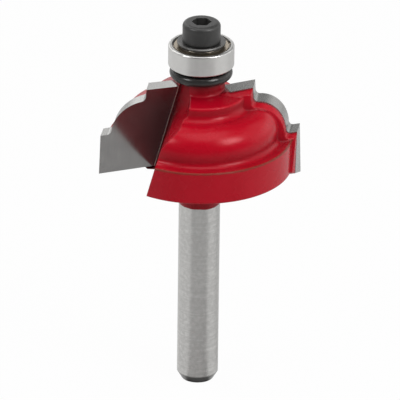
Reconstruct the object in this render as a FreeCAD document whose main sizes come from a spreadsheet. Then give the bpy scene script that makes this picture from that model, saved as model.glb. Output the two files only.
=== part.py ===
import FreeCAD, Part
import Sketcher
import math
import os

# Guided edge-forming router bit: 6 mm shank, two carbide tips, ball bearing pilot.
# Z runs up the shank, z = 0 is the flat end of the shank, and the two tips lie along X.

document = FreeCAD.newDocument("router_bit")
sheet = document.addObject("Spreadsheet::Sheet", "sizes")


class Size:
    """A number together with the formula that gives it from the sheet."""

    def __init__(self, number, formula):
        self.number = number
        self.formula = formula

    def __add__(self, other):
        other = size_of(other)
        return Size(self.number + other.number, f"({self.formula} + {other.formula})")

    def __sub__(self, other):
        other = size_of(other)
        return Size(self.number - other.number, f"({self.formula} - {other.formula})")

    def __mul__(self, other):
        other = size_of(other)
        return Size(self.number * other.number, f"({self.formula} * {other.formula})")

    def __truediv__(self, other):
        other = size_of(other)
        return Size(self.number / other.number, f"({self.formula} / {other.formula})")

    def __neg__(self):
        return Size(-self.number, f"(0 - {self.formula})")


def size_of(thing):
    if isinstance(thing, Size):
        return thing
    return Size(float(thing), repr(float(thing)))


full_turn = size_of(360)


def root(thing):
    return Size(math.sqrt(thing.number), f"sqrt({thing.formula})")


def sine(degrees):
    return Size(math.sin(math.radians(degrees.number)), f"sin({degrees.formula})")


def cosine(degrees):
    return Size(math.cos(math.radians(degrees.number)), f"cos({degrees.formula})")


class Sizes:
    """The driving dimensions, one attribute for each row of the sheet."""


# Driving dimensions in mm and degrees. Heights are measured from the end of the shank.
driving = [
    ("shank_diameter", 6.0),
    ("shank_end_height", 1.1),
    ("shank_end_inset", 0.65),
    ("shank_fillet", 2.0),
    # the red head of the cutter, turned to a profile a little inside the cutting edges
    ("rim_radius", 13.25),
    ("rim_bottom", 34.1),
    ("rim_top", 38.85),
    ("rim_edge_round", 0.15),
    ("underside_slope", 17.2),
    ("dome_foot_fillet", 0.8),
    ("dome_radius", 3.42),
    ("dome_centre_radius", 7.9),
    ("dome_centre_height", 40.5),
    ("step_foot_fillet", 1.0),
    ("step_radius", 6.6),
    ("step_edge_height", 45.9),
    ("step_edge_round", 0.35),
    ("neck_radius", 3.5),
    ("neck_foot", 46.45),
    ("neck_fillet", 0.5),
    ("neck_top", 48.2),
    ("seam_turn", 160.0),
    # the stub that carries the bearing, tapped for the screw
    ("stub_radius", 2.36),
    ("stub_top", 52.95),
    ("stub_edge", 0.2),
    ("tapped_depth", 8.0),
    ("fit_clearance", 0.02),
    # the rake face: a plane that leans with the height and passes behind the axis
    ("rake_lean", 14.26),
    ("rake_offset", 2.9),
    ("rake_height", 38.5),
    # the cutting profile on the rake face: radii from the axis and heights
    ("cut_bottom", 32.85),
    ("cut_radius", 14.6),
    ("cut_step_height", 39.72),
    ("cut_step_width", 1.0),
    ("cut_foot_fillet", 0.65),
    ("cut_cove_radius", 4.5),
    ("cut_shoulder_height", 44.79),
    ("cut_corner_fillet", 0.72),
    ("cut_corner_run", 0.64),
    ("cut_corner_rise", 0.76),
    ("cut_wall_radius", 8.08),
    ("cut_top", 46.83),
    ("cut_top_inner", 46.6),
    ("tip_inner_top", 3.16),
    ("tip_inner_bottom", 5.51),
    ("tip_thickness", 2.33),
    ("braze_back", 0.12),
    ("braze_side", 0.16),
    # how far the wing falls back behind the cutting edge, at the back of the tip and of the wing
    ("tip_relief_top", 1.2),
    ("tip_relief_step", 1.32),
    ("tip_relief_bottom", 1.65),
    ("tip_fall", 0.08),
    ("tip_bottom_rise", 0.93),
    ("wing_thickness", 3.2),
    ("wing_relief_top", 0.75),
    ("wing_relief_step", 0.6),
    ("wing_relief_bottom", 0.8),
    ("wing_fall", 0.6),
    ("wing_bottom_rise", 1.5),
    ("wing_inner_front", 1.5),
    ("wing_inner_back", 2.5),
    ("wing_lead", 0.6),
    # the gullet in front of each tip
    ("ledge_width", 0.42),
    ("gullet_bend", 2.8),
    ("gullet_reach", 26.0),
    ("gullet_low", 27.0),
    ("gullet_plane_top", 40.6),
    ("gullet_turn", 42.3),
    ("gullet_shoulder", 44.7),
    ("gullet_neck", 46.35),
    ("gullet_high", 50.0),
    ("gullet_plane_slope", 0.54),
    ("gullet_turn_slope", 0.46),
    ("gullet_shoulder_slope", 0.35),
    ("gullet_neck_slope", 0.37),
    ("gullet_neck_bend", 2.66),
    ("gullet_shoulder_bend", 3.05),
    # the dust shield under the bearing
    ("dust_radius", 4.55),
    ("dust_height", 1.5),
    ("dust_low_round", 0.7),
    ("dust_high_round", 0.35),
    ("dust_dish_radius", 4.0),
    ("dust_dish_depth", 0.25),
    ("dust_hub_radius", 3.0),
    ("dust_hub_height", 1.85),
    # the ball bearing: 3/16 in bore, 3/8 in outside, 1/8 in wide
    ("bearing_bore_radius", 2.38125),
    ("bearing_radius", 4.7625),
    ("bearing_width", 3.175),
    ("bearing_edge", 0.25),
    ("bore_edge", 0.12),
    ("ball_radius", 0.79375),
    ("ball_circle_radius", 3.571875),
    ("ball_count", 8.0),
    ("groove_radius", 0.82),
    ("inner_land_radius", 3.06),
    ("outer_land_radius", 4.08),
    ("shield_seat_radius", 4.26),
    ("shield_seat_depth", 0.5),
    ("shield_thickness", 0.18),
    ("shield_rise", 0.2),
    ("shield_raised_radius", 3.95),
    ("shield_bore_radius", 3.14),
    ("shield_fit", 0.01),
    ("snap_ring_width", 0.2),
    ("snap_ring_height", 0.16),
    ("snap_ring_gap", 14.0),
    ("cage_thickness", 0.1),
    ("cage_inner_radius", 3.32),
    ("cage_outer_radius", 3.84),
    ("cage_pocket_clearance", 0.03),
    # the washer and the screw that hold the bearing
    ("washer_radius", 3.5),
    ("washer_bore_radius", 1.6),
    ("washer_height", 0.5),
    ("washer_edge", 0.15),
    ("washer_boss_radius", 2.95),
    ("washer_boss_height", 0.12),
    ("screw_head_radius", 2.75),
    ("screw_head_height", 2.9),
    ("screw_head_round", 0.65),
    ("screw_foot_edge", 0.08),
    ("screw_radius", 1.5),
    ("screw_length", 8.0),
    ("screw_tip_edge", 0.3),
    ("socket_width", 2.5),
    ("socket_depth", 1.5),
    ("socket_sides", 6.0),
    ("socket_turn", -20.5),
]

sizes = Sizes()
for row, (alias, number) in enumerate(driving, start=1):
    sheet.set(f"A{row}", alias)
    sheet.set(f"B{row}", str(number))
    sheet.setAlias(f"B{row}", alias)
    setattr(sizes, alias, Size(number, f"sizes.{alias}"))
document.recompute()


def vector(x, y, z=0.0):
    return FreeCAD.Vector(x, y, z)


def arc_between(start, end, radius, turning_left):
    """The arc of a circle from start to end, and whether it runs against the clock."""
    middle = (start + end) * 0.5
    chord = end - start
    across = vector(-chord.y, chord.x) * (1 / chord.Length)
    height = math.sqrt(radius ** 2 - (chord.Length / 2) ** 2)
    centre = middle + across * (height if turning_left else -height)
    first, last = (start, end) if turning_left else (end, start)
    first_angle = math.atan2(first.y - centre.y, first.x - centre.x)
    last_angle = math.atan2(last.y - centre.y, last.x - centre.x)
    circle = Part.Circle(centre, vector(0, 0, 1), radius)
    return Part.ArcOfCircle(circle, first_angle, last_angle)


def pin(sketch, edge, end, axis, size):
    """Hold one end of an edge at its distance from the origin along one axis."""
    kind, line = ("DistanceX", -2) if axis == "x" else ("DistanceY", -1)
    if abs(size.number) < 1e-9:
        sketch.addConstraint(Sketcher.Constraint("PointOnObject", edge, end, line))
        return
    index = sketch.addConstraint(Sketcher.Constraint(kind, -1, 1, edge, end, size.number))
    sketch.setExpression(f"Constraints[{index}]", size.formula)


def draw(sketch, corners):
    """Close an outline through corners (x, y, bend); bend is None or (radius, turning_left)."""
    ends = []
    for number, (x, y, bend) in enumerate(corners):
        next_x, next_y, _ = corners[(number + 1) % len(corners)]
        start = vector(size_of(x).number, size_of(y).number)
        end = vector(size_of(next_x).number, size_of(next_y).number)
        if bend is None:
            sketch.addGeometry(Part.LineSegment(start, end), False)
            ends.append((1, 2))
            continue
        radius, turning_left = bend
        sketch.addGeometry(arc_between(start, end, radius.number, turning_left), False)
        ends.append((1, 2) if turning_left else (2, 1))
        index = sketch.addConstraint(Sketcher.Constraint("Radius", number, radius.number))
        sketch.setExpression(f"Constraints[{index}]", radius.formula)
    for number, (x, y, _) in enumerate(corners):
        before = (number - 1) % len(corners)
        joint = Sketcher.Constraint("Coincident", before, ends[before][1], number, ends[number][0])
        sketch.addConstraint(joint)
        pin(sketch, number, ends[number][0], "x", size_of(x))
        pin(sketch, number, ends[number][0], "y", size_of(y))


def origin_plane(body, role):
    for feature in body.Origin.OriginFeatures:
        if feature.Role == role:
            return feature
    raise RuntimeError(f"no {role} in {body.Name}")


def turned(name, corners, height=None, gap=None):
    """A body of revolution about Z from an outline of radii and heights, open at a gap."""
    body = document.addObject("PartDesign::Body", name)
    sketch = body.newObject("Sketcher::SketchObject", f"{name}_outline")
    sketch.AttachmentSupport = [(origin_plane(body, "XZ_Plane"), "")]
    sketch.MapMode = "FlatFace"
    draw(sketch, corners)
    turn = body.newObject("PartDesign::Revolution", f"{name}_turned")
    turn.Profile = sketch
    turn.ReferenceAxis = (sketch, ["V_Axis"])
    turn.Angle = full_turn.number
    if gap is not None:
        turn.setExpression("Angle", (full_turn - gap).formula)
    body.Tip = turn
    if height is not None:
        body.setExpression("Placement.Base.z", height.formula)
    document.recompute()
    return body


def rounded(body, name, kind, radius, chosen):
    """Round or bevel the edges of a body's last feature that the test picks out."""
    last = body.Tip
    names = []
    for number, edge in enumerate(last.Shape.Edges, start=1):
        if chosen(edge):
            names.append(f"Edge{number}")
    if not names:
        raise RuntimeError(f"no edge found for {name}")
    feature = body.newObject(kind, name)
    feature.Base = (last, names)
    feature.setExpression("Radius" if kind == "PartDesign::Fillet" else "Size", radius.formula)
    body.Tip = feature
    document.recompute()
    return feature


def ring_edge(radius, height):
    """A test for the round edge with this radius at this height."""
    def chosen(edge):
        if not isinstance(edge.Curve, Part.Circle):
            return False
        centre = edge.Curve.Center
        near_axis = math.hypot(centre.x, centre.y) < 1e-4
        return near_axis and abs(edge.Curve.Radius - radius) < 1e-3 and abs(centre.z - height) < 1e-3
    return chosen


s = sizes

# The turned blank of the cutter: shank, underside, rim, dome, step, neck and tapped stub.
shank_radius = s.shank_diameter / 2
slope = sine(s.underside_slope) / cosine(s.underside_slope)
shank_top = s.rim_bottom - (s.rim_radius - shank_radius) * slope
dome_top = s.dome_centre_height + s.dome_radius
dome_side = s.dome_centre_radius + s.dome_radius
tapped_radius = s.screw_radius + s.fit_clearance
tapped_bottom = s.stub_top - s.tapped_depth
blank = turned("cutter_blank", [
    (0, 0, None),
    (shank_radius - s.shank_end_inset, 0, None),
    (shank_radius, s.shank_end_height, None),
    (shank_radius, shank_top, None),
    (s.rim_radius, s.rim_bottom, None),
    (s.rim_radius, s.rim_top - s.rim_edge_round, (s.rim_edge_round, True)),
    (s.rim_radius - s.rim_edge_round, s.rim_top, None),
    (dome_side + s.dome_foot_fillet, s.rim_top, (s.dome_foot_fillet, False)),
    (dome_side, s.rim_top + s.dome_foot_fillet, None),
    (dome_side, s.dome_centre_height, (s.dome_radius, True)),
    (s.dome_centre_radius, dome_top, None),
    (s.step_radius + s.step_foot_fillet, dome_top, (s.step_foot_fillet, False)),
    (s.step_radius, dome_top + s.step_foot_fillet, None),
    (s.step_radius, s.step_edge_height, None),
    (s.neck_radius, s.neck_foot, None),
    (s.neck_radius, s.neck_top, None),
    (s.stub_radius, s.neck_top, None),
    (s.stub_radius, s.stub_top - s.stub_edge, None),
    (s.stub_radius - s.stub_edge, s.stub_top, None),
    (tapped_radius, s.stub_top, None),
    (tapped_radius, tapped_bottom, None),
    (0, tapped_bottom, None),
])
rounded(blank, "shank_fillet_turned", "PartDesign::Fillet", s.shank_fillet,
        ring_edge(shank_radius.number, shank_top.number))
rounded(blank, "rim_low_edge_turned", "PartDesign::Fillet", s.rim_edge_round,
        ring_edge(s.rim_radius.number, s.rim_bottom.number))
rounded(blank, "step_edge_turned", "PartDesign::Fillet", s.step_edge_round,
        ring_edge(s.step_radius.number, s.step_edge_height.number))
rounded(blank, "neck_fillet_turned", "PartDesign::Fillet", s.neck_fillet,
        ring_edge(s.neck_radius.number, s.neck_foot.number))
# The seam of the turned faces stands clear of the gullets and the seats.
blank.Placement = FreeCAD.Placement(vector(0, 0, 0),
                                    FreeCAD.Rotation(vector(0, 0, 1), s.seam_turn.number))

# The cutting profile: the outer flat, the foot of the cove, its shoulder and the wall above.
cut_step_radius = s.cut_radius - s.cut_step_width
cut_foot_radius = cut_step_radius - s.cut_foot_fillet
cut_foot_height = s.cut_step_height + s.cut_foot_fillet
cut_shoulder_radius = s.cut_wall_radius + s.cut_corner_run
cut_wall_foot = s.cut_shoulder_height + s.cut_corner_rise

# The rake plane: u runs out from the axis, w up the plane and depth back into the wing.
lean_sine = sine(s.rake_lean)
lean_cosine = cosine(s.rake_lean)


def plane_rise(height, depth):
    """How far up the plane at this depth a height is."""
    return (height - s.rake_height - depth * lean_sine) / lean_cosine


def plane_reach(radius, height):
    """How far out on the rake face a radius from the axis is."""
    sideways = s.rake_offset - plane_rise(height, size_of(0)) * lean_sine
    return root(radius * radius - sideways * sideways)


def rake_side(height):
    """How far the rake face stands off the axis at a height."""
    return s.rake_offset - (height - s.rake_height) * lean_sine / lean_cosine


def inner_edge(height):
    """How far out the inner edge of the tip is at a height."""
    share = (s.cut_top - height) / (s.cut_top - s.cut_bottom)
    return s.tip_inner_top + (s.tip_inner_bottom - s.tip_inner_top) * share


def wing_outline(depth, top, step, bottom, fall, rise, inner):
    """The outline of a wing at a depth behind the rake face, drawn in by its relief."""
    def corner(radius, height, relief, drop, bend=None):
        return (plane_reach(radius, height) - relief, plane_rise(height - drop, depth), bend)
    foot = (s.cut_foot_fillet, False)
    return [
        (inner, plane_rise(s.cut_bottom + rise, depth), None),
        corner(s.cut_radius, s.cut_bottom, bottom, -rise),
        corner(s.cut_radius, s.cut_step_height, step, fall),
        corner(cut_step_radius, s.cut_step_height, step, fall, foot),
        corner(cut_foot_radius, cut_foot_height, step, fall, (s.cut_cove_radius, True)),
        corner(cut_shoulder_radius, s.cut_shoulder_height, top, fall, (s.cut_corner_fillet, False)),
        corner(s.cut_wall_radius, cut_wall_foot, top, fall),
        corner(s.cut_wall_radius, s.cut_top, top, fall),
        (inner, plane_rise(s.cut_top_inner - fall, depth), None),
    ]


def plane_placement(depth, turn):
    """The frame of the rake plane at a depth, for the wing turned about the axis."""
    lean = math.radians(s.rake_lean.number)
    out = vector(-1, 0, 0)
    up = vector(0, -math.sin(lean), math.cos(lean))
    back = vector(0, math.cos(lean), math.sin(lean))
    base = vector(0, s.rake_offset.number, s.rake_height.number) + back * depth
    leaning = FreeCAD.Placement(base, FreeCAD.Rotation(out, up, back, "ZXY"))
    return FreeCAD.Placement(vector(0, 0, 0), FreeCAD.Rotation(vector(0, 0, 1), turn)) * leaning


def free_sketch(name, placement, corners):
    sketch = document.addObject("Sketcher::SketchObject", name)
    draw(sketch, corners)
    sketch.Placement = placement
    document.recompute()
    return sketch


def ruled_solid(name, sections):
    loft = document.addObject("Part::Loft", name)
    loft.Sections = sections
    loft.Solid = True
    loft.Ruled = True
    document.recompute()
    return loft


def joined(kind, name, base, tool):
    result = document.addObject(kind, name)
    result.Base = base
    result.Tool = tool
    document.recompute()
    return result


def tip_block(name, turn, side, lead, depth):
    """The block that the tip, or the tip with its braze, takes up in the wing."""
    low = s.cut_bottom - s.ledge_width
    high = s.cut_top + s.tip_thickness
    far = s.cut_radius + s.tip_thickness
    sketch = free_sketch(f"{name}_outline", plane_placement(-lead.number, turn), [
        (inner_edge(low) - side, plane_rise(low, size_of(0)), None),
        (far, plane_rise(low, size_of(0)), None),
        (far, plane_rise(high, size_of(0)), None),
        (inner_edge(high) - side, plane_rise(high, size_of(0)), None),
    ])
    block = document.addObject("Part::Extrusion", name)
    block.Base = sketch
    block.DirMode = "Normal"
    block.Solid = True
    block.setExpression("LengthFwd", (lead + depth).formula)
    document.recompute()
    return block


def gullet_outline(height, bend, slope_after):
    """The gullet at one height: corner, bend of its wall, and far outside the cutter."""
    side = rake_side(height)
    corner = inner_edge(height) - s.braze_side - s.ledge_width
    far = bend + (s.gullet_reach - s.gullet_bend) * slope_after
    return [
        (-corner, side, None),
        (-bend, -s.gullet_bend, None),
        (-far, -s.gullet_reach, None),
        (-s.gullet_reach, -s.gullet_reach, None),
        (-s.gullet_reach, side, None),
    ]


def straight_bend(height, slope_here):
    """Where a straight gullet wall of this slope passes the bend line."""
    corner = inner_edge(height) - s.braze_side - s.ledge_width
    return corner + (rake_side(height) + s.gullet_bend) * slope_here


gullet_sections = [
    (s.gullet_low, straight_bend(s.gullet_low, s.gullet_plane_slope), s.gullet_plane_slope),
    (s.gullet_plane_top, straight_bend(s.gullet_plane_top, s.gullet_plane_slope), s.gullet_plane_slope),
    (s.gullet_turn, straight_bend(s.gullet_turn, s.gullet_turn_slope), s.gullet_turn_slope),
    (s.gullet_shoulder, s.gullet_shoulder_bend, s.gullet_shoulder_slope),
    (s.gullet_neck, s.gullet_neck_bend, s.gullet_neck_slope),
    (s.gullet_high, s.gullet_neck_bend, s.gullet_neck_slope),
]

# The two wings, half a turn apart, each with a gullet, a tip and the braze that holds it.
none = size_of(0)
ahead = s.wing_lead / s.tip_thickness
lead_outline = wing_outline(-s.wing_lead, -(s.tip_relief_top * ahead),
                            -(s.tip_relief_step * ahead), -(s.tip_relief_bottom * ahead),
                            -(s.tip_fall * ahead), -(s.tip_bottom_rise * ahead),
                            s.wing_inner_front)
middle_outline = wing_outline(s.tip_thickness, s.tip_relief_top, s.tip_relief_step,
                              s.tip_relief_bottom, s.tip_fall, s.tip_bottom_rise,
                              s.wing_inner_front)
back_outline = wing_outline(s.wing_thickness, s.tip_relief_top + s.wing_relief_top,
                            s.tip_relief_step + s.wing_relief_step,
                            s.tip_relief_bottom + s.wing_relief_bottom,
                            s.wing_fall, s.wing_bottom_rise, s.wing_inner_back)
wings = []
gullets = []
seats = []
for number, turn in ((1, 0.0), (2, 180.0)):
    spin = FreeCAD.Placement(vector(0, 0, 0), FreeCAD.Rotation(vector(0, 0, 1), turn))
    wing = ruled_solid(f"wing_{number}", [
        free_sketch(f"wing_{number}_lead", plane_placement(-s.wing_lead.number, turn), lead_outline),
        free_sketch(f"wing_{number}_middle", plane_placement(s.tip_thickness.number, turn),
                    middle_outline),
        free_sketch(f"wing_{number}_back", plane_placement(s.wing_thickness.number, turn),
                    back_outline),
    ])
    cuts = []
    for level, (height, bend, slope_after) in enumerate(gullet_sections, start=1):
        lifted = spin * FreeCAD.Placement(vector(0, 0, height.number), FreeCAD.Rotation())
        cuts.append(free_sketch(f"gullet_{number}_level_{level}", lifted,
                                gullet_outline(height, bend, slope_after)))
    gullets.append(ruled_solid(f"gullet_{number}", cuts))
    seats.append(tip_block(f"seat_{number}", turn, s.braze_side, s.wing_lead,
                           s.tip_thickness + s.braze_back))
    tip_space = tip_block(f"tip_space_{number}", turn, none, none, s.tip_thickness)
    filled_space = tip_block(f"filled_space_{number}", turn, s.braze_side, none,
                             s.tip_thickness + s.braze_back)
    joined("Part::Common", f"carbide_tip_{number}", wing, tip_space)
    filled = joined("Part::Common", f"tip_and_braze_{number}", wing, filled_space)
    joined("Part::Cut", f"braze_layer_{number}", filled, tip_space)
    wings.append(wing)

steel = document.addObject("Part::MultiFuse", "winged_blank")
steel.Shapes = [blank] + wings
document.recompute()
for number, gullet in enumerate(gullets, start=1):
    steel = joined("Part::Cut", f"gulleted_{number}", steel, gullet)
for number, seat in enumerate(seats, start=1):
    name = "cutter_body" if number == len(seats) else f"seated_{number}"
    steel = joined("Part::Cut", name, steel, seat)

# The dust shield: a rounded black collar whose hub alone touches the inner ring.
turned("dust_shield", [
    (s.stub_radius + s.fit_clearance, 0, None),
    (s.dust_radius - s.dust_low_round, 0, (s.dust_low_round, True)),
    (s.dust_radius, s.dust_low_round, None),
    (s.dust_radius, s.dust_height - s.dust_high_round, (s.dust_high_round, True)),
    (s.dust_radius - s.dust_high_round, s.dust_height, None),
    (s.dust_dish_radius, s.dust_height, None),
    (s.dust_dish_radius - s.dust_dish_depth, s.dust_height - s.dust_dish_depth, None),
    (s.dust_hub_radius, s.dust_height - s.dust_dish_depth, None),
    (s.dust_hub_radius, s.dust_hub_height, None),
    (s.stub_radius + s.fit_clearance, s.dust_hub_height, None),
], s.neck_top)

# The bearing stands on the hub of the dust shield; its mid height carries the balls.
bearing_foot = s.neck_top + s.dust_hub_height
bearing_middle = bearing_foot + s.bearing_width / 2
half_width = s.bearing_width / 2
inner_groove_half = root(s.groove_radius * s.groove_radius
                         - (s.ball_circle_radius - s.inner_land_radius)
                         * (s.ball_circle_radius - s.inner_land_radius))
outer_groove_half = root(s.groove_radius * s.groove_radius
                         - (s.outer_land_radius - s.ball_circle_radius)
                         * (s.outer_land_radius - s.ball_circle_radius))
turned("inner_ring", [
    (s.bearing_bore_radius, s.bore_edge, None),
    (s.bearing_bore_radius + s.bore_edge, 0, None),
    (s.inner_land_radius, 0, None),
    (s.inner_land_radius, half_width - inner_groove_half, (s.groove_radius, False)),
    (s.inner_land_radius, half_width + inner_groove_half, None),
    (s.inner_land_radius, s.bearing_width, None),
    (s.bearing_bore_radius + s.bore_edge, s.bearing_width, None),
    (s.bearing_bore_radius, s.bearing_width - s.bore_edge, None),
], bearing_foot)
turned("outer_ring", [
    (s.bearing_radius - s.bearing_edge, 0, (s.bearing_edge, True)),
    (s.bearing_radius, s.bearing_edge, None),
    (s.bearing_radius, s.bearing_width - s.bearing_edge, (s.bearing_edge, True)),
    (s.bearing_radius - s.bearing_edge, s.bearing_width, None),
    (s.shield_seat_radius, s.bearing_width, None),
    (s.shield_seat_radius, s.bearing_width - s.shield_seat_depth, None),
    (s.outer_land_radius, s.bearing_width - s.shield_seat_depth, None),
    (s.outer_land_radius, half_width + outer_groove_half, (s.groove_radius, False)),
    (s.outer_land_radius, half_width - outer_groove_half, None),
    (s.outer_land_radius, s.shield_seat_depth, None),
    (s.shield_seat_radius, s.shield_seat_depth, None),
    (s.shield_seat_radius, 0, None),
], bearing_foot)

# A dished shield closes each side of the bearing and a snap ring holds its flange in the seat.
shield_height = s.shield_seat_depth - s.shield_thickness
snap_height = shield_height - s.snap_ring_height
shield_outline = [
    (s.shield_bore_radius, s.shield_rise, None),
    (s.shield_raised_radius - s.shield_thickness, s.shield_rise, None),
    (s.shield_raised_radius - s.shield_thickness, 0, None),
    (s.shield_seat_radius - s.shield_fit, 0, None),
    (s.shield_seat_radius - s.shield_fit, s.shield_thickness, None),
    (s.shield_raised_radius, s.shield_thickness, None),
    (s.shield_raised_radius, s.shield_rise + s.shield_thickness, None),
    (s.shield_bore_radius, s.shield_rise + s.shield_thickness, None),
]
hanging_outline = [(radius, -height, bend) for radius, height, bend in shield_outline]
snap_outline = [
    (s.shield_seat_radius - s.snap_ring_width, 0, None),
    (s.shield_seat_radius, 0, None),
    (s.shield_seat_radius, s.snap_ring_height, None),
    (s.shield_seat_radius - s.snap_ring_width, s.snap_ring_height, None),
]
bearing_top = bearing_foot + s.bearing_width
turned("lower_shield", hanging_outline, bearing_foot + s.shield_seat_depth)
turned("upper_shield", shield_outline, bearing_top - s.shield_seat_depth)
turned("lower_snap_ring", snap_outline, bearing_foot + snap_height, s.snap_ring_gap)
turned("upper_snap_ring", snap_outline, bearing_top - shield_height, s.snap_ring_gap)

# Eight balls on one circle at mid height.
ball_names = []
for number in range(int(s.ball_count.number)):
    name = f"ball_{number + 1}"
    ball = document.addObject("Part::Sphere", name)
    angle = full_turn / s.ball_count * number
    ball.setExpression("Radius", s.ball_radius.formula)
    ball.setExpression("Placement.Base.x", (s.ball_circle_radius * cosine(angle)).formula)
    ball.setExpression("Placement.Base.y", (s.ball_circle_radius * sine(angle)).formula)
    ball.setExpression("Placement.Base.z", bearing_middle.formula)
    ball_names.append(name)
document.recompute()


def ribbon_half(name, upward):
    """One pressed half of the ribbon cage: a flat ring bulged into a pocket over each ball."""
    thickness = s.cage_thickness.number
    pocket = s.ball_radius.number + s.cage_pocket_clearance.number
    inner, outer = s.cage_inner_radius.number, s.cage_outer_radius.number
    height = pocket + thickness
    below = vector(0, 0, -thickness)
    band = Part.makeCylinder(outer, height + 2 * thickness, below)
    band = band.cut(Part.makeCylinder(inner, height + 2 * thickness, below))
    above = Part.makeCylinder(outer + height, height + thickness)
    centres = []
    for number in range(int(s.ball_count.number)):
        angle = 2 * math.pi * number / s.ball_count.number
        centres.append(vector(math.cos(angle), math.sin(angle)) * s.ball_circle_radius.number)
    half = Part.makeCylinder(outer, thickness)
    for centre in centres:
        half = half.fuse(Part.makeSphere(height, centre))
    half = half.common(band).common(above)
    for centre in centres:
        half = half.cut(Part.makeSphere(pocket, centre))
    cage = document.addObject("Part::Feature", name)
    cage.Shape = half
    facing = FreeCAD.Rotation() if upward else FreeCAD.Rotation(vector(1, 0, 0), 180)
    cage.Placement = FreeCAD.Placement(vector(0, 0, bearing_middle.number), facing)
    return cage


ribbon_half("cage_upper", True)
ribbon_half("cage_lower", False)

# The washer bears on the inner ring with a thin boss and stands clear of the upper shield.
washer_top = s.washer_boss_height + s.washer_height
turned("retaining_washer", [
    (s.washer_bore_radius, 0, None),
    (s.washer_boss_radius, 0, None),
    (s.washer_boss_radius, s.washer_boss_height, None),
    (s.washer_radius - s.washer_edge, s.washer_boss_height, None),
    (s.washer_radius, s.washer_boss_height + s.washer_edge, None),
    (s.washer_radius, washer_top - s.washer_edge, None),
    (s.washer_radius - s.washer_edge, washer_top, None),
    (s.washer_bore_radius, washer_top, None),
], bearing_top)

# The cap screw, with a hexagon socket sunk in its rounded head.
screw = turned("cap_screw", [
    (0, -s.screw_length, None),
    (s.screw_radius - s.screw_tip_edge, -s.screw_length, None),
    (s.screw_radius, s.screw_tip_edge - s.screw_length, None),
    (s.screw_radius, 0, None),
    (s.screw_head_radius - s.screw_foot_edge, 0, None),
    (s.screw_head_radius, s.screw_foot_edge, None),
    (s.screw_head_radius, s.screw_head_height - s.screw_head_round, (s.screw_head_round, True)),
    (s.screw_head_radius - s.screw_head_round, s.screw_head_height, None),
    (0, s.screw_head_height, None),
], bearing_top + washer_top)
hexagon = screw.newObject("Sketcher::SketchObject", "cap_screw_socket_outline")
hexagon.AttachmentSupport = [(origin_plane(screw, "XY_Plane"), "")]
hexagon.MapMode = "FlatFace"
hexagon.setExpression("AttachmentOffset.Base.z", s.screw_head_height.formula)
socket_corner = s.socket_width / root(size_of(3))
hexagon_corners = []
for number in range(int(s.socket_sides.number)):
    angle = s.socket_turn + full_turn / s.socket_sides * number
    hexagon_corners.append((socket_corner * cosine(angle), socket_corner * sine(angle), None))
draw(hexagon, hexagon_corners)
solid_volume = screw.Tip.Shape.Volume
pocket = screw.newObject("PartDesign::Pocket", "cap_screw_socket")
pocket.Profile = hexagon
pocket.setExpression("Length", s.socket_depth.formula)
screw.Tip = pocket
document.recompute()
if screw.Shape.Volume >= solid_volume:
    raise RuntimeError("the socket is sunk the wrong way")

# Every object is sound before the nodes are written.
for item in document.Objects:
    if "Invalid" in item.State or "Error" in item.State:
        raise RuntimeError(f"{item.Name} is not sound")

nodes = ["cutter_body", "carbide_tip_1", "carbide_tip_2", "braze_layer_1", "braze_layer_2",
         "dust_shield", "inner_ring", "outer_ring", "lower_shield", "upper_shield",
         "lower_snap_ring", "upper_snap_ring", "cage_upper", "cage_lower",
         "retaining_washer", "cap_screw"] + ball_names
os.makedirs("parts", exist_ok=True)
for name in nodes:
    node = document.getObject(name)
    node.Label = name
    if node.Shape.isNull() or not node.Shape.isValid():
        raise RuntimeError(f"{name} has no valid shape")
    node.Shape.exportStep(f"parts/{name}.step")
    print(name, len(node.Shape.Solids), round(node.Shape.Volume, 3))
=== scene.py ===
import math

import bpy
from mathutils import Matrix, Vector


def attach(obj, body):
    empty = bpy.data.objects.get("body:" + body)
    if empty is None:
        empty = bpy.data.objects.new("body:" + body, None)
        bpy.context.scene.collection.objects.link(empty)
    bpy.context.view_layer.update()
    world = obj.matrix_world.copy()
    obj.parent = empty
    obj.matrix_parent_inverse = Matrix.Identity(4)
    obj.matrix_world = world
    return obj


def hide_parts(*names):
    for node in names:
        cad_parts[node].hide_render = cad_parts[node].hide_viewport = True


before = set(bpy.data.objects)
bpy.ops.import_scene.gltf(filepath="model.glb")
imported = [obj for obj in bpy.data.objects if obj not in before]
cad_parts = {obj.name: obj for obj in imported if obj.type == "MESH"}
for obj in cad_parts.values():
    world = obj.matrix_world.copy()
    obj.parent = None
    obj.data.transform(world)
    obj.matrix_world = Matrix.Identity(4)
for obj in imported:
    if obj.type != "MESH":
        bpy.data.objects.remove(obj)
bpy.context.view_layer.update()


# The view of the photograph: a long lens from the front left, a little above the cutter.
# It aims at the axis about halfway up the bit, and the frame leans by under a degree.
VIEW_AIM = Vector((0.00008, 0.0, 0.02844))
VIEW_DISTANCE = 1.064
VIEW_AZIMUTH = math.radians(-20.47)
VIEW_ELEVATION = math.radians(25.456)
VIEW_ROLL = math.radians(-0.711)
VIEW_LENS = 661.0
VIEW_SENSOR_WIDTH = 36.0
VIEW_NEAR_LIMIT = 0.01

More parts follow.
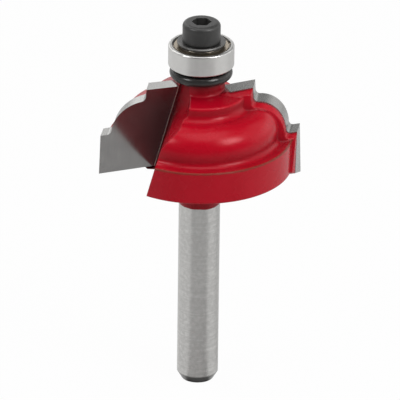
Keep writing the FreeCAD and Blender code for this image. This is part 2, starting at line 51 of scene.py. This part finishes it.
level = math.cos(VIEW_ELEVATION)
view_back = Vector((math.sin(VIEW_AZIMUTH) * level, -math.cos(VIEW_AZIMUTH) * level,
                    math.sin(VIEW_ELEVATION)))
view_right = Vector((math.cos(VIEW_AZIMUTH), math.sin(VIEW_AZIMUTH), 0.0))
view_up = view_back.cross(view_right)
rolled_right = view_right * math.cos(VIEW_ROLL) - view_up * math.sin(VIEW_ROLL)
rolled_up = view_right * math.sin(VIEW_ROLL) + view_up * math.cos(VIEW_ROLL)
view_turn = Matrix((rolled_right, rolled_up, view_back)).transposed().to_4x4()
camera_data = bpy.data.cameras.new("photograph_camera")
camera_data.lens = VIEW_LENS
camera_data.sensor_width = VIEW_SENSOR_WIDTH
camera_data.clip_start = VIEW_NEAR_LIMIT
camera = bpy.data.objects.new("photograph_camera", camera_data)
camera.matrix_world = Matrix.Translation(VIEW_AIM + view_back * VIEW_DISTANCE) @ view_turn
bpy.context.scene.collection.objects.link(camera)
bpy.context.scene.camera = camera
bpy.context.scene.view_settings.view_transform = "Standard"


# The pale sheet that the bit stands on: a smooth matt board, flat and wider than the view.
# The camera sees it as white, with a soft shadow left on it. To bare metal alone it glows as a
# painted reflection: dim in front of the bit, bright at both sides and half as bright behind it.
SHEET_SIZE = 3.0
SHEET_HEIGHT = -0.00002
SHEET_COLOUR = (0.53, 0.53, 0.53, 1.0)
SHEET_WHITE_SHARE = 0.975
SHEET_GLOW_FRONT = 0.0
SHEET_GLOW_SIDES = 0.80
SHEET_GLOW_TURN = math.radians(-2.0)
SHEET_GLOW_COSINES = (0.82, 0.56)
SHEET_BACK_SHARE = 0.50
SHEET_BACK_TURN = math.radians(25.0)
SHEET_BACK_COSINES = (-0.85, -0.35)


class Recipe:
    """The shader nodes of one finish or light, and short ways to add to them."""

    # The first input and the output of a blend of two numbers or of two colours.
    BLEND_SOCKETS = {"FLOAT": (2, 0), "RGBA": (6, 2)}

    def __init__(self, owner, output_kind):
        owner.use_nodes = True
        self.owner = owner
        self.tree = owner.node_tree
        self.tree.nodes.clear()
        self.surface = self.add(output_kind).inputs["Surface"]

    def add(self, kind):
        return self.tree.nodes.new(kind)

    def join(self, source, target):
        self.tree.links.new(source, target)

    def feed(self, value, socket):
        """Set a constant on a socket, or join another node's output to it."""
        if isinstance(value, (int, float, tuple)):
            socket.default_value = value
        else:
            self.join(value, socket)

    def reckon(self, kind, first, second=0.0):
        """The sum, product or other arithmetic of two numbers."""
        node = self.add("ShaderNodeMath")
        node.operation = kind
        self.feed(first, node.inputs[0])
        self.feed(second, node.inputs[1])
        return node.outputs[0]

    def along(self, direction, heading):
        """The cosine of the angle between a direction and a fixed heading."""
        node = self.add("ShaderNodeVectorMath")
        node.operation = "DOT_PRODUCT"
        node.inputs[1].default_value = heading
        self.join(direction, node.inputs[0])
        return node.outputs["Value"]

    def spread(self, value, low, high, start=0.0, end=1.0, curve="LINEAR"):
        """From low to high while a value goes from start to end, and level outside them."""
        node = self.add("ShaderNodeMapRange")
        node.interpolation_type = curve
        node.inputs["From Min"].default_value = start
        node.inputs["From Max"].default_value = end
        node.inputs["To Min"].default_value = low
        self.feed(high, node.inputs["To Max"])
        self.join(value, node.inputs["Value"])
        return node.outputs["Result"]

    def between(self, share, first, second, kind="RGBA"):
        """A blend of two colours, or of two numbers."""
        first_input, result = self.BLEND_SOCKETS[kind]
        node = self.add("ShaderNodeMix")
        node.data_type = kind
        self.join(share, node.inputs[0])
        self.feed(first, node.inputs[first_input])
        self.feed(second, node.inputs[first_input + 1])
        return node.outputs[result]

    def parts_of(self, vector):
        """The X, Y and Z of a place or a direction."""
        split = self.add("ShaderNodeSeparateXYZ")
        self.join(vector, split.inputs[0])
        return split.outputs


def turned_from_view(turn):
    """The level heading from the bit to the camera, turned about the bit's axis."""
    return math.sin(VIEW_AZIMUTH - turn), -math.cos(VIEW_AZIMUTH - turn), 0.0


def pale_sheet_finish():
    """Matt board that shines white to the camera and by its own measure to bare metal."""
    board = Recipe(bpy.data.materials.new("pale_sheet"), "ShaderNodeOutputMaterial")
    matt = board.add("ShaderNodeBsdfDiffuse")
    matt.inputs["Color"].default_value = SHEET_COLOUR
    white = board.add("ShaderNodeEmission")
    outward = board.add("ShaderNodeVectorMath")
    outward.operation = "NORMALIZE"
    board.join(board.add("ShaderNodeNewGeometry").outputs["Position"], outward.inputs[0])
    heading = outward.outputs["Vector"]
    glow = board.spread(board.along(heading, turned_from_view(SHEET_GLOW_TURN)),
                        SHEET_GLOW_FRONT, SHEET_GLOW_SIDES, *SHEET_GLOW_COSINES, "SMOOTHSTEP")
    back = board.spread(board.along(heading, turned_from_view(SHEET_BACK_TURN)),
                        SHEET_BACK_SHARE, 1.0, *SHEET_BACK_COSINES, "SMOOTHSTEP")
    # Painted reflection: the board glows to glossy rays only, by where it lies round the bit.
    ray = board.add("ShaderNodeLightPath")
    mirrored = board.reckon("MULTIPLY", ray.outputs["Is Glossy Ray"],
                            board.reckon("MULTIPLY", glow, back))
    seen = board.reckon("MULTIPLY", ray.outputs["Is Camera Ray"], SHEET_WHITE_SHARE)
    blend = board.add("ShaderNodeMixShader")
    board.join(board.reckon("ADD", mirrored, seen), blend.inputs[0])
    board.join(matt.outputs[0], blend.inputs[1])
    board.join(white.outputs[0], blend.inputs[2])
    board.join(blend.outputs[0], board.surface)
    return board.owner


half = SHEET_SIZE / 2
sheet_corners = [(-half, -half, SHEET_HEIGHT), (half, -half, SHEET_HEIGHT),
                 (half, half, SHEET_HEIGHT), (-half, half, SHEET_HEIGHT)]
sheet_mesh = bpy.data.meshes.new("pale_sheet")
sheet_mesh.from_pydata(sheet_corners, [], [(0, 1, 2, 3)])
sheet_mesh.materials.append(pale_sheet_finish())
pale_sheet = bpy.data.objects.new("pale_sheet", sheet_mesh)
bpy.context.scene.collection.objects.link(pale_sheet)


# The room round the sheet: plain walls, pale grey where the camera looks past the sheet.
# Bare metal mirrors it bright behind the bit, dim in front and nearly dark overhead, with a
# lighter band a little above the sheet, brightest on the left.
ROOM_LEVEL = 0.16
ROOM_BEHIND = 1.00
ROOM_FRONT = 0.16
ROOM_FADE_COSINES = (-0.70, 0.85)
ROOM_ABOVE_SHARE = 0.06
ROOM_ABOVE_HEIGHTS = (0.34, 0.45)
ROOM_LIFT_LEFT = 2.40
ROOM_LIFT_RIGHT = 1.20
ROOM_LIFT_COSINES = (-0.05, 0.40)
ROOM_LIFT_HEIGHTS = (0.05, 0.25)


def studio_room():
    """Pale to the camera, one plain level for matt faces, and a fade for bare metal."""
    room = Recipe(bpy.data.worlds.new("studio_room"), "ShaderNodeOutputWorld")
    heading = room.add("ShaderNodeTexCoord").outputs["Generated"]
    height = room.parts_of(heading)["Z"]
    fade = room.spread(room.along(heading, turned_from_view(math.pi)),
                       ROOM_FRONT, ROOM_BEHIND, *ROOM_FADE_COSINES)
    above = room.spread(height, 1.0, ROOM_ABOVE_SHARE, *ROOM_ABOVE_HEIGHTS, "SMOOTHSTEP")
    lift_share = room.spread(room.along(heading, view_right),
                             ROOM_LIFT_LEFT, ROOM_LIFT_RIGHT, *ROOM_LIFT_COSINES, "SMOOTHSTEP")
    lift = room.spread(height, 1.0, lift_share, *ROOM_LIFT_HEIGHTS, "SMOOTHSTEP")
    mirrored = room.reckon("MULTIPLY", room.reckon("MULTIPLY", fade, above), lift)
    ray = room.add("ShaderNodeLightPath")
    unseen = room.between(ray.outputs["Is Glossy Ray"], ROOM_LEVEL, mirrored, "FLOAT")
    strength = room.between(ray.outputs["Is Camera Ray"], unseen, 1.0, "FLOAT")
    glow = room.add("ShaderNodeBackground")
    room.join(strength, glow.inputs["Strength"])
    room.join(glow.outputs[0], room.surface)
    return room.owner


bpy.context.scene.world = studio_room()


# The lamps: five square softboxes, cloth stretched over a frame with a lamp behind it.
# Each stands about half a metre from the bit and faces the middle of the cutting head.
LAMP_AIM = Vector((0.0, 0.0, 0.042))


def soft_lamp(name, direction, distance, size, power):
    """A softbox, placed by its direction and distance from the cutting head."""
    lamp_data = bpy.data.lights.new(name, "AREA")
    lamp_data.shape = "SQUARE"
    lamp_data.size = size
    lamp_data.energy = power
    lamp = bpy.data.objects.new(name, lamp_data)
    toward = Vector(direction).normalized()
    lamp.location = LAMP_AIM + toward * distance
    lamp.rotation_euler = toward.to_track_quat("Z", "Y").to_euler()
    bpy.context.scene.collection.objects.link(lamp)


soft_lamp("key_lamp", (0.42, -0.65, 0.63), distance=0.45, size=0.18, power=1.06)
soft_lamp("left_lamp", (-0.77, -0.155, 0.62), distance=0.45, size=0.115, power=0.62)
soft_lamp("right_lamp", (0.88, -0.12, 0.42), distance=0.50, size=0.48, power=0.60)
soft_lamp("top_lamp", (0.00, -0.22, 0.96), distance=0.50, size=0.40, power=1.05)
soft_lamp("back_lamp", (-0.28, 0.60, 0.75), distance=0.50, size=0.30, power=0.70)


# The cutter body: shank and head are one piece of steel, turned and then milled.
# The head is sprayed red over the gullets and wings and is a little worn on its upper rim.
# Painted shade darkens it nearly to black in corners, in grooves and under the collar. The shank
# is left ground and bare, with painted shade on the chamfer at its foot.
PAINT_COLOUR = (0.46, 0.002, 0.015, 1.0)
PAINT_CLOUD_COLOUR = (0.39, 0.0015, 0.010, 1.0)
PAINT_CLOUD_SCALE = 260.0
PAINT_ROUGHNESS = 0.27
PAINT_ROUGHNESS_REACH = 0.04
PAINT_SHINE = 0.35
PAINT_SHEEN_COLOUR = (1.0, 0.50, 0.52, 1.0)
# Painted shade: the near black red that the paint turns to where ambient occlusion finds
# corners, grooves and nearby parts.
PAINT_SHADE_COLOUR = (0.055, 0.0006, 0.003, 1.0)
PAINT_SHADE_REACH = 0.0110
PAINT_SHADE_SAMPLES = 8
PAINT_SHADE_SHARES = (0.10, 1.0)
PAINT_SHADE_OPENNESS = (0.30, 0.97)
PAINT_PEEL_SCALE = 1500.0
PAINT_PEEL_DEPTH = 0.000006
PAINT_EDGE_ROUND = 0.00034
PAINT_EDGE_SAMPLES = 6
PAINT_FOOT_HEIGHT = 0.0283
PAINT_FOOT_SOFT = 0.00003
RAGGED_SCALE = 900.0
RAGGED_REACH = 0.00012
RIM_RADIUS = 0.01325
RIM_TOP = 0.03885
WORN_COLOUR = (0.16, 0.035, 0.020, 1.0)
WORN_SHARE = 0.8
WORN_WIDTH = 0.00016
GROUND_COLOUR = (0.64, 0.635, 0.62, 1.0)
GROUND_DULL_COLOUR = (0.40, 0.396, 0.385, 1.0)
GROUND_SHEEN_COLOUR = (1.0, 1.0, 1.0, 1.0)
GROUND_ROUGHNESS = 0.24
GROUND_ROUGHNESS_REACH = 0.12
GROUND_FINE_SCALE = 9000.0
GROUND_BROAD_SCALE = 4200.0
GROUND_PATCH_SCALE = 1100.0
GROUND_LINE_RANGE = (0.3, 0.7)
GROUND_LINE_DEPTH = 0.0000024
GROUND_MOTTLE_SCALE = 1900.0
GROUND_MOTTLE_RANGE = (0.35, 0.65)
GROUND_MOTTLE_LEVEL = 0.8
# Painted shade: a near black band over the chamfer at the foot, where the shank stands on the
# sheet.
FOOT_SHADE_COLOUR = (0.12, 0.118, 0.115, 1.0)
END_CHAMFER_HEIGHT = 0.00115
END_CHAMFER_SOFT = 0.00012


class Finish(Recipe):
    """A metal or paint finish: its one shader and the marks of how it was worked."""

    def __init__(self, name):
        super().__init__(bpy.data.materials.new(name), "ShaderNodeOutputMaterial")
        self.shader = self.add("ShaderNodeBsdfPrincipled")
        self.join(self.shader.outputs[0], self.surface)
        coordinates = self.add("ShaderNodeTexCoord")
        self.place = coordinates.outputs["Object"]
        self.facing = coordinates.outputs["Normal"]

    def give(self, name, value):
        self.feed(value, self.shader.inputs[name])

    def grain(self, scale, detail=3.0, place=None):
        """Soft random clouds from 0 to 1, finer with a larger scale."""
        node = self.add("ShaderNodeTexNoise")
        node.inputs["Scale"].default_value = scale
        node.inputs["Detail"].default_value = detail
        self.join(self.place if place is None else place, node.inputs["Vector"])
        return node.outputs["Fac"]

    def vary(self, value, middle, reach):
        """A number that a texture moves to both sides of its middle."""
        return self.spread(value, middle - reach, middle + reach)

    def pair(self, first, second):
        node = self.add("ShaderNodeCombineXYZ")
        self.join(first, node.inputs[0])
        self.join(second, node.inputs[1])
        return node.outputs[0]

    def radius_and_height(self):
        """How far a point is from the axis, and how high."""
        part = self.parts_of(self.place)
        square = self.reckon("ADD", self.reckon("MULTIPLY", part["X"], part["X"]),
                             self.reckon("MULTIPLY", part["Y"], part["Y"]))
        return self.reckon("SQRT", square), part["Z"]

    def turning_lines(self, scale):
        """Fine rings about the axis, as a lathe or a grinding wheel leaves them."""
        return self.grain(scale, 4.0, self.pair(*self.radius_and_height()))

    def openness(self, reach, samples):
        """How open the surface lies: low in corners and grooves, high on open faces."""
        node = self.add("ShaderNodeAmbientOcclusion")
        node.samples = samples
        node.inputs["Distance"].default_value = reach
        return node.outputs["AO"]

    def rounded_edges(self, radius, samples):
        """The way the surface faces, with its edges rounded off as paint rounds them."""
        node = self.add("ShaderNodeBevel")
        node.samples = samples
        node.inputs["Radius"].default_value = radius
        return node.outputs["Normal"]

    def relief(self, height, depth, under=None):
        """A fine relief of a depth in metres, laid over another one where there is one."""
        node = self.add("ShaderNodeBump")
        node.inputs["Strength"].default_value = 1.0
        node.inputs["Distance"].default_value = depth
        self.join(height, node.inputs["Height"])
        if under is not None:
            self.join(under, node.inputs["Normal"])
        return node.outputs["Normal"]


def dress(material, *names):
    """Give CAD nodes a finish."""
    for name in names:
        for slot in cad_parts[name].material_slots:
            slot.material = material


def sprayed_paint(finish, clouds, ragged):
    """Cloudy red with painted shade, near black in corners, in grooves and under nearby parts,
    and rubbed off along the rim.
    """
    sprayed = finish.between(clouds, PAINT_COLOUR, PAINT_CLOUD_COLOUR)
    # Painted shade: ambient occlusion, reaching to other parts too, blends the paint towards
    # near black in corners, in grooves and under the collar.
    openness = finish.openness(PAINT_SHADE_REACH, PAINT_SHADE_SAMPLES)
    thin = finish.spread(openness, *PAINT_SHADE_SHARES, *PAINT_SHADE_OPENNESS)
    paint = finish.between(thin, PAINT_SHADE_COLOUR, sprayed)
    radius, height = finish.radius_and_height()
    aside = finish.reckon("ABSOLUTE", finish.reckon("SUBTRACT", radius, RIM_RADIUS))
    above = finish.reckon("ABSOLUTE", finish.reckon("SUBTRACT", height, RIM_TOP))
    rim_gap = finish.reckon("ADD", finish.reckon("ADD", aside, above), ragged)
    worn = finish.spread(rim_gap, WORN_SHARE, 0.0, WORN_WIDTH, WORN_WIDTH * 2)
    return finish.between(worn, paint, WORN_COLOUR)


def ground_steel(finish, lines, height):
    """Steel with the fine lines of the wheel in a mottle, and painted shade over the chamfer at
    its foot.
    """
    mottle = finish.spread(finish.grain(GROUND_MOTTLE_SCALE, 4.0), 0.0, 1.0,
                           *GROUND_MOTTLE_RANGE)
    lined = finish.spread(lines, 0.0, 1.0, *GROUND_LINE_RANGE)
    dull = finish.between(mottle, lined, GROUND_MOTTLE_LEVEL, "FLOAT")
    ground = finish.between(dull, GROUND_COLOUR, GROUND_DULL_COLOUR)
    # Painted shade: the steel turns near black below the top of the chamfer at the foot.
    foot_shade = finish.spread(height, 1.0, 0.0, END_CHAMFER_HEIGHT - END_CHAMFER_SOFT,
                            END_CHAMFER_HEIGHT + END_CHAMFER_SOFT)
    return finish.between(foot_shade, ground, FOOT_SHADE_COLOUR)


def painted_cutter_finish():
    """Ground steel up to the ragged foot of the paint, and red paint above it."""
    finish = Finish("painted_cutter")
    ragged = finish.vary(finish.grain(RAGGED_SCALE), 0.0, RAGGED_REACH)
    height = finish.reckon("ADD", finish.parts_of(finish.place)["Z"], ragged)
    painted = finish.spread(height, 0.0, 1.0, PAINT_FOOT_HEIGHT - PAINT_FOOT_SOFT,
                            PAINT_FOOT_HEIGHT + PAINT_FOOT_SOFT)
    clouds = finish.grain(PAINT_CLOUD_SCALE)
    lines = finish.between(finish.grain(GROUND_PATCH_SCALE),
                           finish.turning_lines(GROUND_FINE_SCALE),
                           finish.turning_lines(GROUND_BROAD_SCALE), "FLOAT")
    finish.give("Base Color", finish.between(painted, ground_steel(finish, lines, height),
                                             sprayed_paint(finish, clouds, ragged)))
    finish.give("Metallic", finish.spread(painted, 1.0, 0.0))
    finish.give("Specular IOR Level", PAINT_SHINE)
    finish.give("Specular Tint", finish.between(painted, GROUND_SHEEN_COLOUR,
                                                PAINT_SHEEN_COLOUR))
    paint_roughness = finish.vary(clouds, PAINT_ROUGHNESS, PAINT_ROUGHNESS_REACH)
    ground_roughness = finish.vary(lines, GROUND_ROUGHNESS, GROUND_ROUGHNESS_REACH)
    finish.give("Roughness", finish.between(painted, ground_roughness, paint_roughness, "FLOAT"))
    peel = finish.relief(finish.grain(PAINT_PEEL_SCALE, 1.0), PAINT_PEEL_DEPTH,
                         finish.rounded_edges(PAINT_EDGE_ROUND, PAINT_EDGE_SAMPLES))
    bare_lines = finish.between(painted, lines, 0.5, "FLOAT")
    finish.give("Normal", finish.relief(bare_lines, GROUND_LINE_DEPTH, peel))
    return finish.owner


dress(painted_cutter_finish(), "cutter_body")


# The two cutting tips: sintered carbide, brazed into their pockets and ground to the profile.
# The rake face is ground flat and bright in straight strokes, and the faces behind the edge
# carry the fine lines of the profile wheel.
CARBIDE_METALLIC = 0.90
CARBIDE_LINE_DEPTH = 0.0000012
RAKE_LEAN = math.radians(14.26)
RAKE_COSINES = (0.985, 0.998)
RAKE_COLOUR = (0.48, 0.476, 0.467, 1.0)
RAKE_DARK_COLOUR = (0.27, 0.268, 0.262, 1.0)
RAKE_CLOUD_SCALE = 420.0
RAKE_ROUGHNESS = 0.19
RAKE_ROUGHNESS_REACH = 0.03
STROKE_SCALE = 5200.0
STROKE_STRETCH = 0.04
CLEARANCE_COLOUR = (0.42, 0.415, 0.405, 1.0)
CLEARANCE_DARK_COLOUR = (0.35, 0.345, 0.335, 1.0)
CLEARANCE_ROUGHNESS = 0.26
CLEARANCE_ROUGHNESS_REACH = 0.08
CLEARANCE_LINE_SCALE = 7000.0


def carbide_finish():
    """Grey carbide, told apart by the way it faces: the leaning rake face and the rest."""
    finish = Finish("ground_carbide")
    facing = finish.parts_of(finish.facing)
    flat_on = finish.reckon(
        "SUBTRACT",
        finish.reckon("MULTIPLY", finish.reckon("ABSOLUTE", facing["Y"]), math.cos(RAKE_LEAN)),
        finish.reckon("MULTIPLY", facing["Z"], math.sin(RAKE_LEAN)))
    rake = finish.spread(flat_on, 0.0, 1.0, *RAKE_COSINES)
    part = finish.parts_of(finish.place)
    strokes = finish.grain(STROKE_SCALE, place=finish.pair(
        part["X"], finish.reckon("MULTIPLY", part["Z"], STROKE_STRETCH)))
    lines = finish.turning_lines(CLEARANCE_LINE_SCALE)
    bright = finish.reckon("MULTIPLY", strokes, finish.grain(RAKE_CLOUD_SCALE, 2.0))
    rake_colour = finish.between(bright, RAKE_DARK_COLOUR, RAKE_COLOUR)
    clearance_colour = finish.between(lines, CLEARANCE_COLOUR, CLEARANCE_DARK_COLOUR)
    finish.give("Base Color", finish.between(rake, clearance_colour, rake_colour))
    finish.give("Metallic", CARBIDE_METALLIC)
    rake_roughness = finish.vary(strokes, RAKE_ROUGHNESS, RAKE_ROUGHNESS_REACH)
    clearance_roughness = finish.vary(lines, CLEARANCE_ROUGHNESS, CLEARANCE_ROUGHNESS_REACH)
    finish.give("Roughness", finish.between(rake, clearance_roughness, rake_roughness, "FLOAT"))
    marks = finish.between(rake, lines, strokes, "FLOAT")
    finish.give("Normal", finish.relief(marks, CARBIDE_LINE_DEPTH))
    return finish.owner


dress(carbide_finish(), "carbide_tip_1", "carbide_tip_2")


# The braze: a thin seam of silver alloy, melted between each tip and its pocket in the steel.
# The grinding of the rake face leaves it bright there, and the spray paint covers the rest.
BRAZE_COLOUR = (0.88, 0.86, 0.78, 1.0)
BRAZE_DULL_COLOUR = (0.62, 0.58, 0.50, 1.0)
BRAZE_PAINTED_COLOUR = (0.11, 0.004, 0.008, 1.0)
BRAZE_BARE_COSINES = (0.80, 0.92)
BRAZE_METALLIC = 0.60
BRAZE_ROUGHNESS = (0.42, 0.60)
BRAZE_LUMP_SCALE = 3000.0
BRAZE_LUMP_DEPTH = 0.00001


def braze_finish():
    """Lumpy silver on the two sides that the rake faces look to, and dark red elsewhere."""
    finish = Finish("silver_braze")
    lumps = finish.grain(BRAZE_LUMP_SCALE)
    silver = finish.between(lumps, BRAZE_COLOUR, BRAZE_DULL_COLOUR)
    flat_on = finish.reckon("ABSOLUTE", finish.parts_of(finish.facing)["Y"])
    bare = finish.spread(flat_on, 0.0, 1.0, *BRAZE_BARE_COSINES)
    finish.give("Base Color", finish.between(bare, BRAZE_PAINTED_COLOUR, silver))
    finish.give("Metallic", finish.spread(bare, 0.0, BRAZE_METALLIC))
    finish.give("Roughness", finish.spread(lumps, *BRAZE_ROUGHNESS))
    finish.give("Normal", finish.relief(lumps, BRAZE_LUMP_DEPTH))
    return finish.owner


dress(braze_finish(), "braze_layer_1", "braze_layer_2")


# The dust collar below the bearing: a turned steel ring with a fully rounded rim.
# It is blackened and oiled, and its hub is what the inner ring stands on.
COLLAR_FOOT = 0.0482
COLLAR_RADIUS = 0.00455
COLLAR_HEIGHT = 0.0015
COLLAR_BORE = 0.00238
COLLAR_LOW_ROUND = 0.00070
COLLAR_HIGH_ROUND = 0.00078
COLLAR_DISH_RADIUS = 0.00360
COLLAR_DISH_DEPTH = 0.00025
COLLAR_HUB_RADIUS = 0.0030
COLLAR_HUB_HEIGHT = 0.00185
COLLAR_COLOUR = (0.026, 0.0255, 0.0245, 1.0)
COLLAR_WORN_COLOUR = (0.036, 0.0352, 0.034, 1.0)
COLLAR_ROUGHNESS = 0.25
COLLAR_CLOUD_SCALE = 700.0
BLACK_METALLIC = 0.35
BLACK_ROUGHNESS_BELOW = 0.05
BLACK_ROUGHNESS_ABOVE = 0.06
BLACK_LINE_SCALE = 8000.0
BLACK_LINE_DEPTH = 0.000002
BLACK_SKIN_SCALE = 6000.0
BLACK_SKIN_DEPTH = 0.000004
ROUND_STEPS = 14
TURNED_STEPS = 160
TURNED_SHARP_ANGLE = math.radians(35.0)


def blackened_finish(name, dark, worn, roughness, cloud_scale):
    """Black oxide on steel: a thin dark skin, a little worn and cloudy."""
    finish = Finish(name)
    clouds = finish.grain(cloud_scale)
    finish.give("Base Color", finish.between(clouds, dark, worn))
    finish.give("Metallic", BLACK_METALLIC)
    finish.give("Roughness", finish.spread(clouds, roughness - BLACK_ROUGHNESS_BELOW,
                                           roughness + BLACK_ROUGHNESS_ABOVE))
    skin = finish.relief(finish.grain(BLACK_SKIN_SCALE), BLACK_SKIN_DEPTH)
    finish.give("Normal", finish.relief(finish.turning_lines(BLACK_LINE_SCALE),
                                        BLACK_LINE_DEPTH, skin))
    return finish.owner


def quarter_round(centre, height, radius, start):
    """Radii and heights of a quarter circle, from a start angle in degrees."""
    points = []
    for step in range(ROUND_STEPS + 1):
        angle = math.radians(start + 90.0 * step / ROUND_STEPS)
        points.append((centre + radius * math.cos(angle), height + radius * math.sin(angle)))
    return points


def turned_piece(name, outline, foot, material):
    """A smooth closed body of revolution from its outline of radii and heights."""
    rows = len(outline)
    corners = []
    faces = []
    for turn in range(TURNED_STEPS):
        angle = math.tau * turn / TURNED_STEPS
        following = (turn + 1) % TURNED_STEPS
        for row, (radius, height) in enumerate(outline):
            corners.append((radius * math.cos(angle), radius * math.sin(angle), foot + height))
            after = (row + 1) % rows
            faces.append((turn * rows + row, following * rows + row,
                          following * rows + after, turn * rows + after))
    mesh = bpy.data.meshes.new(name)
    mesh.from_pydata(corners, [], faces, shade_flat=False)
    mesh.materials.append(material)
    mesh.set_sharp_from_angle(angle=TURNED_SHARP_ANGLE)
    piece = bpy.data.objects.new(name, mesh)
    bpy.context.scene.collection.objects.link(piece)
    return piece


collar_dish = COLLAR_HEIGHT - COLLAR_DISH_DEPTH
collar_outline = (
    [(COLLAR_BORE, 0.0)]
    + quarter_round(COLLAR_RADIUS - COLLAR_LOW_ROUND, COLLAR_LOW_ROUND, COLLAR_LOW_ROUND, -90.0)
    + quarter_round(COLLAR_RADIUS - COLLAR_HIGH_ROUND, COLLAR_HEIGHT - COLLAR_HIGH_ROUND,
                    COLLAR_HIGH_ROUND, 0.0)
    + [(COLLAR_DISH_RADIUS, collar_dish), (COLLAR_HUB_RADIUS, collar_dish),
       (COLLAR_HUB_RADIUS, COLLAR_HUB_HEIGHT), (COLLAR_BORE, COLLAR_HUB_HEIGHT)])
collar = turned_piece("round_collar", collar_outline, COLLAR_FOOT,
                      blackened_finish("blackened_collar", COLLAR_COLOUR, COLLAR_WORN_COLOUR,
                                       COLLAR_ROUGHNESS, COLLAR_CLOUD_SCALE))
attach(collar, "cutter")
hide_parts("dust_shield")


# The guide bearing: hardened chrome steel rings and balls, ground and polished.
# Two pressed shields, held by snap rings of bent wire, close it, and a ribbon cage pressed
# from sheet spaces its balls.
TURNED_METALLIC = 1.0
TURNED_ROUGHNESS_REACH = 0.06
TURNED_MOTTLE_SCALE = 1300.0
TURNED_MOTTLE_RANGE = (0.3, 0.7)
TURNED_MOTTLE_LEVEL = 0.75


def turned_metal_finish(name, bright, dull, roughness, line_scale, line_depth):
    """Bare metal with fine turning lines, which a mottle hides in places."""
    finish = Finish(name)
    lines = finish.turning_lines(line_scale)
    mottle = finish.spread(finish.grain(TURNED_MOTTLE_SCALE), 0.0, 1.0, *TURNED_MOTTLE_RANGE)
    shade = finish.between(mottle, lines, TURNED_MOTTLE_LEVEL, "FLOAT")
    finish.give("Base Color", finish.between(shade, bright, dull))
    finish.give("Metallic", TURNED_METALLIC)
    finish.give("Roughness", finish.vary(lines, roughness, TURNED_ROUGHNESS_REACH))
    finish.give("Normal", finish.relief(lines, line_depth))
    return finish.owner


ring_finish = turned_metal_finish(
    "ground_ring", (0.66, 0.655, 0.64, 1.0), (0.53, 0.525, 0.51, 1.0),
    roughness=0.32, line_scale=9000.0, line_depth=0.0000025)
shield_finish = turned_metal_finish(
    "pressed_shield", (0.54, 0.47, 0.37, 1.0), (0.44, 0.38, 0.30, 1.0),
    roughness=0.30, line_scale=5000.0, line_depth=0.000002)
wire_finish = turned_metal_finish(
    "spring_wire", (0.17, 0.165, 0.155, 1.0), (0.12, 0.115, 0.11, 1.0),
    roughness=0.35, line_scale=5000.0, line_depth=0.000002)
cage_finish = turned_metal_finish(
    "ribbon_steel", (0.55, 0.54, 0.52, 1.0), (0.45, 0.44, 0.42, 1.0),
    roughness=0.34, line_scale=4000.0, line_depth=0.000002)
ball_finish = turned_metal_finish(
    "polished_ball", (0.70, 0.70, 0.69, 1.0), (0.66, 0.66, 0.65, 1.0),
    roughness=0.12, line_scale=3000.0, line_depth=0.0000004)
dress(ring_finish, "inner_ring", "outer_ring")
dress(shield_finish, "lower_shield", "upper_shield")
dress(wire_finish, "lower_snap_ring", "upper_snap_ring")
dress(cage_finish, "cage_upper", "cage_lower")
dress(ball_finish, *[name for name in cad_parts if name.startswith("ball_")])


# The washer: a flat steel ring, grey and a little dull, turned on its rim.
# The cap screw clamps it, and the thin boss below it bears on the inner ring alone.
washer_finish = turned_metal_finish(
    "dull_washer", (0.17, 0.168, 0.163, 1.0), (0.13, 0.128, 0.125, 1.0),
    roughness=0.36, line_scale=7000.0, line_depth=0.000002)
dress(washer_finish, "retaining_washer")


# The cap screw: alloy steel, its head forged with a hexagon socket, blackened and oiled.
# It is screwed into the tapped end of the cutter body and holds the bearing on it.
screw_finish = blackened_finish(
    "blackened_screw", (0.034, 0.034, 0.033, 1.0), (0.054, 0.053, 0.052, 1.0),
    roughness=0.41, cloud_scale=900.0)
dress(screw_finish, "cap_screw")
